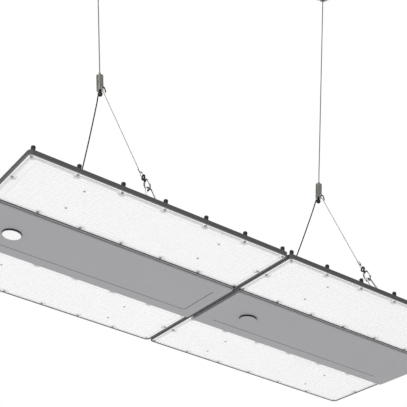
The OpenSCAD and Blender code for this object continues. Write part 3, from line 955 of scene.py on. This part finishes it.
    def build_bail(self, wing: Wing) -> None:
        """The triangular wire loop whose feet turn out into the tray's ears.

        Args:
            wing: Which leg.
        """
        x, r = self.bail_x, self.foot_s - self.apex_s
        half = [(x + 6 * MM, 0.0), (x + 0.6 * MM, 0.0), (x - 1.2 * MM, 0.7 * MM), (x - 2.2 * MM, 2.6 * MM)]
        half += [(6.4 * MM, r - 6 * MM), (5.6 * MM, r - 3 * MM), (4.2 * MM, r - 0.8 * MM), (2.6 * MM, r)]
        flat = np.array(half + [(-a, b) for a, b in reversed(half)])
        upright = self.in_leg(wing, flat[:, 0], np.zeros(len(flat)), self.foot_s - flat[:, 1])
        route = resampled(relaxed(self.place.at(upright), 3), 1.0 * MM)
        shell = Shell().add_grid(round_wire(route, self.bail_r, (0.0, 1.0, 0.0)))
        add_piece(
            shell, f"bail_wire_{self.tag(wing)}", f"light_{self.key}", "steel_fastener",
            [f"bail_{self.tag(wing)}"],
        )

    def hook_points(self, wing: Wing, out: np.ndarray, down: np.ndarray) -> np.ndarray:
        """Points of a hook: out from the leg's line, and down from the eye's middle."""
        return self.leaned(self.in_leg(wing, np.zeros(len(out)), out, self.hook_s + down))

    def hook_oval(self, wing: Wing) -> np.ndarray:
        """A hook's oval loop, from one side of its opening round to the other: two half circles, joined.

        Args:
            wing: Which leg.

        Returns:
            The route's points, one a row.
        """
        loop_r, top_s, low_s = 6.3 * MM, 17.0 * MM, 29.7 * MM
        top = np.linspace(math.radians(-32), math.pi, 22)
        low = np.linspace(math.pi, math.tau - math.radians(6), 22)
        over = np.stack([loop_r * np.cos(top), top_s - loop_r * np.sin(top)], axis=1)
        under = np.stack([loop_r * np.cos(low), low_s - loop_r * np.sin(low)], axis=1)
        over = over[over[:, 1] < top_s + 0.1 * MM]
        oval = np.vstack([over, under])
        return resampled(self.hook_points(wing, oval[:, 0], oval[:, 1]), 0.8 * MM)

    def hook_head(self, wing: Wing) -> Shell:
        """A hook's eye, a circle carried round a circle, and its turned barrel.

        Args:
            wing: Which leg.

        Returns:
            Their surfaces.
        """
        eye_r, eye_wire = 4.3 * MM, 1.55 * MM
        ring = full_turn(32)
        circle = self.hook_points(wing, eye_r * np.cos(ring), eye_r * np.sin(ring))
        centre = circle.mean(axis=0)
        side = unit(np.cross(circle[8] - centre, circle[0] - centre))
        turn = full_turn(18)[None, :, None]
        across = np.cos(turn) * unit(circle - centre)[:, None] + np.sin(turn) * side
        torus = circle[:, None] + eye_wire * across
        head = Shell().add_grid(np.concatenate([torus, torus[:1]]), capped=False)
        barrel = self.hook_points(wing, np.zeros(2), np.array(self.BARREL_SPAN) * MM)
        profile = np.array(self.BARREL) * MM
        profile[:, 1] *= float(np.linalg.norm(barrel[1] - barrel[0])) / profile[-1, 1]
        return head.add_grid(turned(profile, barrel[0], barrel[1] - barrel[0]))

    def gate_bar(self, wing: Wing) -> Shell:
        """A gate's bar and its pin, both round wires.

        Args:
            wing: Which leg.

        Returns:
            Their surfaces.
        """
        out = np.full(2, self.gate_out)
        bar = resampled(self.hook_points(wing, out, np.array(self.GATE_SPAN) * MM), 0.8 * MM)
        gate = Shell().add_grid(round_wire(bar, self.gate_wire_r, (1.0, 0.0, 0.0), 16))
        reach = np.array([-1.55, 1.55]) * MM
        pin = self.leaned(self.in_leg(wing, reach, out, np.full(2, self.hook_s + 14.6 * MM)))
        return gate.add_grid(round_wire(resampled(pin, 0.5 * MM), 0.7 * MM, (0.0, 1.0, 0.3), 14))

    def build_hook(self, wing: Wing) -> None:
        """A wire-form snap hook: its head, an oval loop with an opening, and the gate that shuts it.

        Args:
            wing: Which leg.
        """
        tag, body = self.tag(wing), f"hanger_{self.key}"
        loop = Shell().add_grid(round_wire(self.hook_oval(wing), self.hook_wire_r, (1.0, 0.0, 0.0), 18))
        add_piece(self.hook_head(wing), f"hook_eye_{tag}", body, "black_steel")
        add_piece(loop, f"hook_wire_{tag}", body, "steel_fastener", [f"snap_hook_{tag}"])
        add_piece(self.gate_bar(wing), f"gate_bar_{tag}", f"gate_{tag}", "steel_fastener", [f"gate_{tag}"])

    def build(self) -> None:
        """Builds and dresses the whole hanger, ropes first."""
        self.build_rope()
        for wing in Wing:
            self.build_leg(wing)
        for wing in Wing:
            self.build_bail(wing)
            self.build_hook(wing)
        for part in ("ceiling_cup", "gripper", "release_collar", "leg_ferrules"):
            dress_node(f"{part}_{self.key}", "nickel_brass")


# ---- the module ----


@dataclass
class LightModule:
    """One flat light: tray, two lenses, the driver bay and its cover."""

    place: Place
    field_x: float = 229.0 * MM
    field_y0: float = 97.0 * MM
    field_y1: float = 222.0 * MM
    face_z: float = -1.0 * MM
    lenslets_x: int = 46
    lenslets_y: int = 13
    steps: int = 7
    lenslet_h: float = 0.9 * MM
    peg_x: float = 131.0 * MM
    peg_ys: tuple[float, float] = (131.5 * MM, 198.0 * MM)
    peg_r: float = 1.9 * MM
    edge_x: float = 246.4 * MM
    edge_y0: float = 81.6 * MM
    edge_y1: float = 237.4 * MM
    screw_pitch: float = 80.5 * MM
    screw_in: float = 4.9 * MM
    lip_in: float = 6.5 * MM
    lip_round: float = 8.0 * MM
    lip_half: float = 0.9 * MM
    lip_high: float = 1.3 * MM

    SLOTS = {
        "tray_paint": ("tray", "driver_housing"),
        "cover_paint": ("bay_cover",),
        "lens_polymer": ("lens_near", "lens_far"),
        "seal_rubber": ("lens_gaskets", "bay_seal"),
        "pcb_white": ("led_board_near", "led_board_far"),
        "steel_fastener": ("lens_screws", "bay_screws"),
        "driver_case": ("driver_unit",),
        "black_plastic": ("terminal_block", "cable_gland", "sensor_collar"),
    }
    # A peg: radius and height over the lens's face, in millimetres
    PEG = ((1.9, 0.3), (1.9, -0.75), (1.7, -0.95), (1.15, -1.0), (1.0, -0.8), (0.6, -0.6), (0.05, -0.55))
    LENS_SMOOTH = 60.0

    @property
    def key(self) -> str:
        """The letter of the module's side."""
        return self.place.side.value

    @property
    def pegs(self) -> list[tuple[float, float]]:
        """The four pegs' places on the near or far half."""
        return [(x, y) for x in (-self.peg_x, self.peg_x) for y in self.peg_ys]

    def lenslet_field(self, wing: Wing) -> np.ndarray:
        """The lens's moulded field: rows of small cushions that bulge downwards.

        With u and v running from -1 to 1 over one cushion, its depth is h (1 - |u|^2.4)(1 - |v|^2.4). Round
        each peg the field is flat: the depth is scaled by a smooth step of the distance from it.

        Args:
            wing: Which lens.

        Returns:
            The grid of points of the underside, with a skirt that sinks into the lens.
        """
        nx, ny = self.lenslets_x * self.steps + 1, self.lenslets_y * self.steps + 1
        x = np.linspace(-self.field_x, self.field_x, nx)
        y = np.linspace(self.field_y0, self.field_y1, ny)
        u = (np.linspace(0, self.lenslets_x, nx) % 1.0) * 2 - 1
        v = (np.linspace(0, self.lenslets_y, ny) % 1.0) * 2 - 1
        depth = self.lenslet_h * np.outer(1 - np.abs(u) ** 2.4, 1 - np.abs(v) ** 2.4)
        gx, gy = np.meshgrid(x, y, indexing="ij")
        for px, py in self.pegs:
            near = np.clip((np.hypot(gx - px, gy - py) - self.peg_r) / (2.5 * MM), 0.0, 1.0)
            depth *= near * near * (3 - 2 * near)
        z = self.face_z - 0.12 * MM - depth
        grid = np.stack([gx, wing.sign * gy, z], axis=-1)
        rim = np.pad(grid, ((1, 1), (1, 1), (0, 0)), mode="edge")
        sunk = self.face_z + 0.25 * MM
        rim[[0, -1], :, 2] = sunk
        rim[:, [0, -1], 2] = sunk
        return self.place.at(rim)

    def lens_lip(self, wing: Wing) -> np.ndarray:
        """The bead along the lens's border.

        It runs lip_in inside the border, and goes round each screw: with d the distance along the border
        from a screw, it lies at e + sqrt(r^2 - d^2) from the border, where e is the screw's own distance
        and r is lip_round.

        Args:
            wing: Which lens.

        Returns:
            The grid of points of a closed half-sunk round bead.
        """

        def inset(along: np.ndarray, screws: Sequence[float]) -> np.ndarray:
            away = np.abs(along[:, None] - np.array(screws)[None]).min(axis=1)
            round_it = self.screw_in + np.sqrt(np.maximum(self.lip_round ** 2 - away ** 2, 0.0))
            return np.where(away < self.lip_round, np.maximum(self.lip_in, round_it), self.lip_in)

        end = self.edge_x - self.lip_in
        x = np.linspace(-end, end, 1201)
        deep = inset(x, [i * self.screw_pitch for i in range(-3, 4)])
        y = np.linspace(self.edge_y0 + deep[0], self.edge_y1 - deep[0], 321)[1:-1]
        side = self.edge_x - inset(y, [(self.edge_y0 + self.edge_y1) / 2])
        outline = np.concatenate([
            np.stack([x, self.edge_y0 + deep], axis=1), np.stack([side, y], axis=1),
            np.stack([x, self.edge_y1 - deep], axis=1)[::-1], np.stack([-side, y], axis=1)[::-1],
        ])
        level = np.full(len(outline), self.face_z)
        outline = np.column_stack([outline[:, 0], wing.sign * outline[:, 1], level])
        outline = resampled(np.vstack([outline, outline[:1]]), 1.0 * MM)
        ahead = unit(np.roll(outline[:-1], -1, axis=0) - np.roll(outline[:-1], 1, axis=0))
        across = np.cross(ahead, np.array([0.0, 0.0, 1.0]))
        turn = full_turn(12)
        rings = outline[:-1, None] + self.lip_half * np.cos(turn)[None, :, None] * across[:, None]
        rings[:, :, 2] += self.lip_high * np.sin(turn)
        return self.place.at(np.concatenate([rings, rings[:1]]))

    def build_lens(self, wing: Wing) -> None:
        """The lenslet field, the bead along the border and the four pegs that show in the field.

        Args:
            wing: Which lens.
        """
        grid = self.lenslet_field(wing)
        if wing is Wing.FAR:
            grid = grid[:, ::-1]
        shell = Shell().add_grid(grid, closed=False, capped=False)
        tag, body = f"{wing.value}_{self.key}", f"light_{self.key}"
        add_piece(shell, f"lens_field_{tag}", body, "lens_polymer", (), self.LENS_SMOOTH)
        lip = Shell().add_grid(self.lens_lip(wing), capped=False)
        add_piece(lip, f"lens_lip_{tag}", body, "lens_polymer", (), self.LENS_SMOOTH)
        pegs, profile = Shell(), np.array(self.PEG) * MM
        for px, py in self.pegs:
            centre = self.place.at(np.array([px, wing.sign * py, self.face_z]))
            pegs.add_grid(turned(profile, centre, np.array([0.0, 0.0, 1.0]), 20))
        add_piece(pegs, f"lens_pegs_{tag}", body, "cap_plastic")

    def dress(self) -> None:
        """Gives each CAD node of the module its finish."""
        for slot, parts in self.SLOTS.items():
            for part in parts:
                dress_node(f"{part}_{self.key}", slot)
        if self.place.side is Side.A:
            dress_node("sensor_window_a", "sensor_white")
        else:
            dress_node("blank_cap_b", "cap_plastic")

    def build(self) -> None:
        """Builds the module's added pieces and dresses the rest."""
        for wing in Wing:
            self.build_lens(wing)
        self.dress()


# ---- the stage ----


@dataclass
class Stage:
    """Camera, floor, lights and a white surround."""

    azimuth: float = 30.919
    elevation: float = 31.439
    roll: float = 4.990
    focal_mm: float = 89.765
    # From the middle of module A's rim to the camera
    offset: Point = (-0.68068, -1.49013, -0.85457)
    floor_z: float = -3.2
    sun_strength: float = 1.5
    sun_spread: float = 0.7
    surround_seen: float = 1.0
    surround_lit: float = 0.3

    def add_camera(self, place: Place) -> None:
        """A camera that looks up at the row from its near left side.

        Args:
            place: Module A's place.
        """
        a, e, r = (math.radians(v) for v in (self.azimuth, self.elevation, self.roll))
        ahead = Vector((math.sin(a) * math.cos(e), math.cos(a) * math.cos(e), math.sin(e)))
        level = Vector((math.cos(a), -math.sin(a), 0.0))
        above = level.cross(ahead)
        right = level * math.cos(r) + above * math.sin(r)
        up = above * math.cos(r) - level * math.sin(r)
        data = bpy.data.cameras.new("camera")
        data.sensor_width = 36.0
        data.lens = self.focal_mm
        data.clip_end = 50.0
        camera = placed("camera", data)
        turn = Matrix((right, up, -ahead)).transposed().to_4x4()
        where = Vector((place.centre_x, 0.0, place.rim_z)) + Vector(self.offset)
        camera.matrix_world = Matrix.Translation(where) @ turn
        bpy.context.scene.camera = camera

    def add_floor(self) -> None:
        """A wide pale floor below everything."""
        half = 60.0
        mesh = bpy.data.meshes.new("floor")
        square = ((-half, -half), (half, -half), (half, half), (-half, half))
        corners = [(x, y, self.floor_z) for x, y in square]
        mesh.from_pydata(corners, [], [(0, 1, 2, 3)])
        floor = placed("floor", mesh)
        material = bpy.data.materials.new("pale_floor")
        material.use_nodes = True
        shader = material.node_tree.nodes["Principled BSDF"]
        shader.inputs["Base Color"].default_value = (0.86, 0.86, 0.86, 1.0)
        shader.inputs["Roughness"].default_value = 0.9
        mesh.materials.append(material)

    def add_light(self, name: str, where: Point, aim: Point, size: float, watts: float) -> None:
        """A square soft light.

        Args:
            name: Its name.
            where: Its place.
            aim: The point that it faces.
            size: Its side length.
            watts: Its power.
        """
        data = bpy.data.lights.new(name, "AREA")
        data.shape = "SQUARE"
        data.size = size
        data.energy = watts
        light = placed(name, data)
        light.visible_camera = False
        light.location = where
        light.rotation_mode = "QUATERNION"
        light.rotation_quaternion = (Vector(aim) - Vector(where)).to_track_quat("-Z", "Y")

    def add_sun(self) -> None:
        """A soft even light from straight above, mostly for the floor."""
        data = bpy.data.lights.new("overhead", "SUN")
        data.energy = self.sun_strength
        data.angle = self.sun_spread
        placed("overhead", data)

    def add_surround(self) -> None:
        """A white surround: seen by the camera as plain white, and much dimmer as a light."""
        world = bpy.data.worlds.new("surround")
        bpy.context.scene.world = world
        world.use_nodes = True
        world.node_tree.nodes.clear()
        board = Board(world.node_tree)
        white = (1.0, 1.0, 1.0, 1.0)
        seen = board.add("Background", {"Color": white, "Strength": self.surround_seen}).outputs[0]
        lit = board.add("Background", {"Color": white, "Strength": self.surround_lit}).outputs[0]
        camera_ray = board.add("LightPath").outputs["Is Camera Ray"]
        mixed = board.add("MixShader", {0: camera_ray, 1: lit, 2: seen}).outputs[0]
        board.add("OutputWorld", {"Surface": mixed})

    def build(self, place: Place) -> None:
        """Sets the whole stage.

        Args:
            place: Module A's place.
        """
        self.add_camera(place)
        self.add_floor()
        self.add_surround()
        self.add_light("under_fill", (0.0, 0.35, -3.0), (0.07, 0.0, -0.95), 2.4, 17.0)
        self.add_light("left_strip", (-2.3, -1.3, -0.5), (0.0, 0.0, -0.7), 1.2, 14.0)
        self.add_sun()
        self.add_light("back_rim", (1.6, 2.6, 0.8), (0.1, 0.0, -0.9), 1.4, 24.0)
        view = bpy.context.scene.view_settings
        view.view_transform = "Standard"
        view.look = "None"


GRIPPER_OVER_RIM = {Side.A: 368.0 * MM, Side.B: 338.0 * MM}


def main() -> None:
    logging.basicConfig(level=logging.INFO, format="%(name)s: %(message)s")
    places = {side: Place(side) for side in Side}
    Stage().build(places[Side.A])
    for side, place in places.items():
        Hanger(place, GRIPPER_OVER_RIM[side]).build()
    for place in places.values():
        LightModule(place).build()


if __name__ == "__main__":
    main()
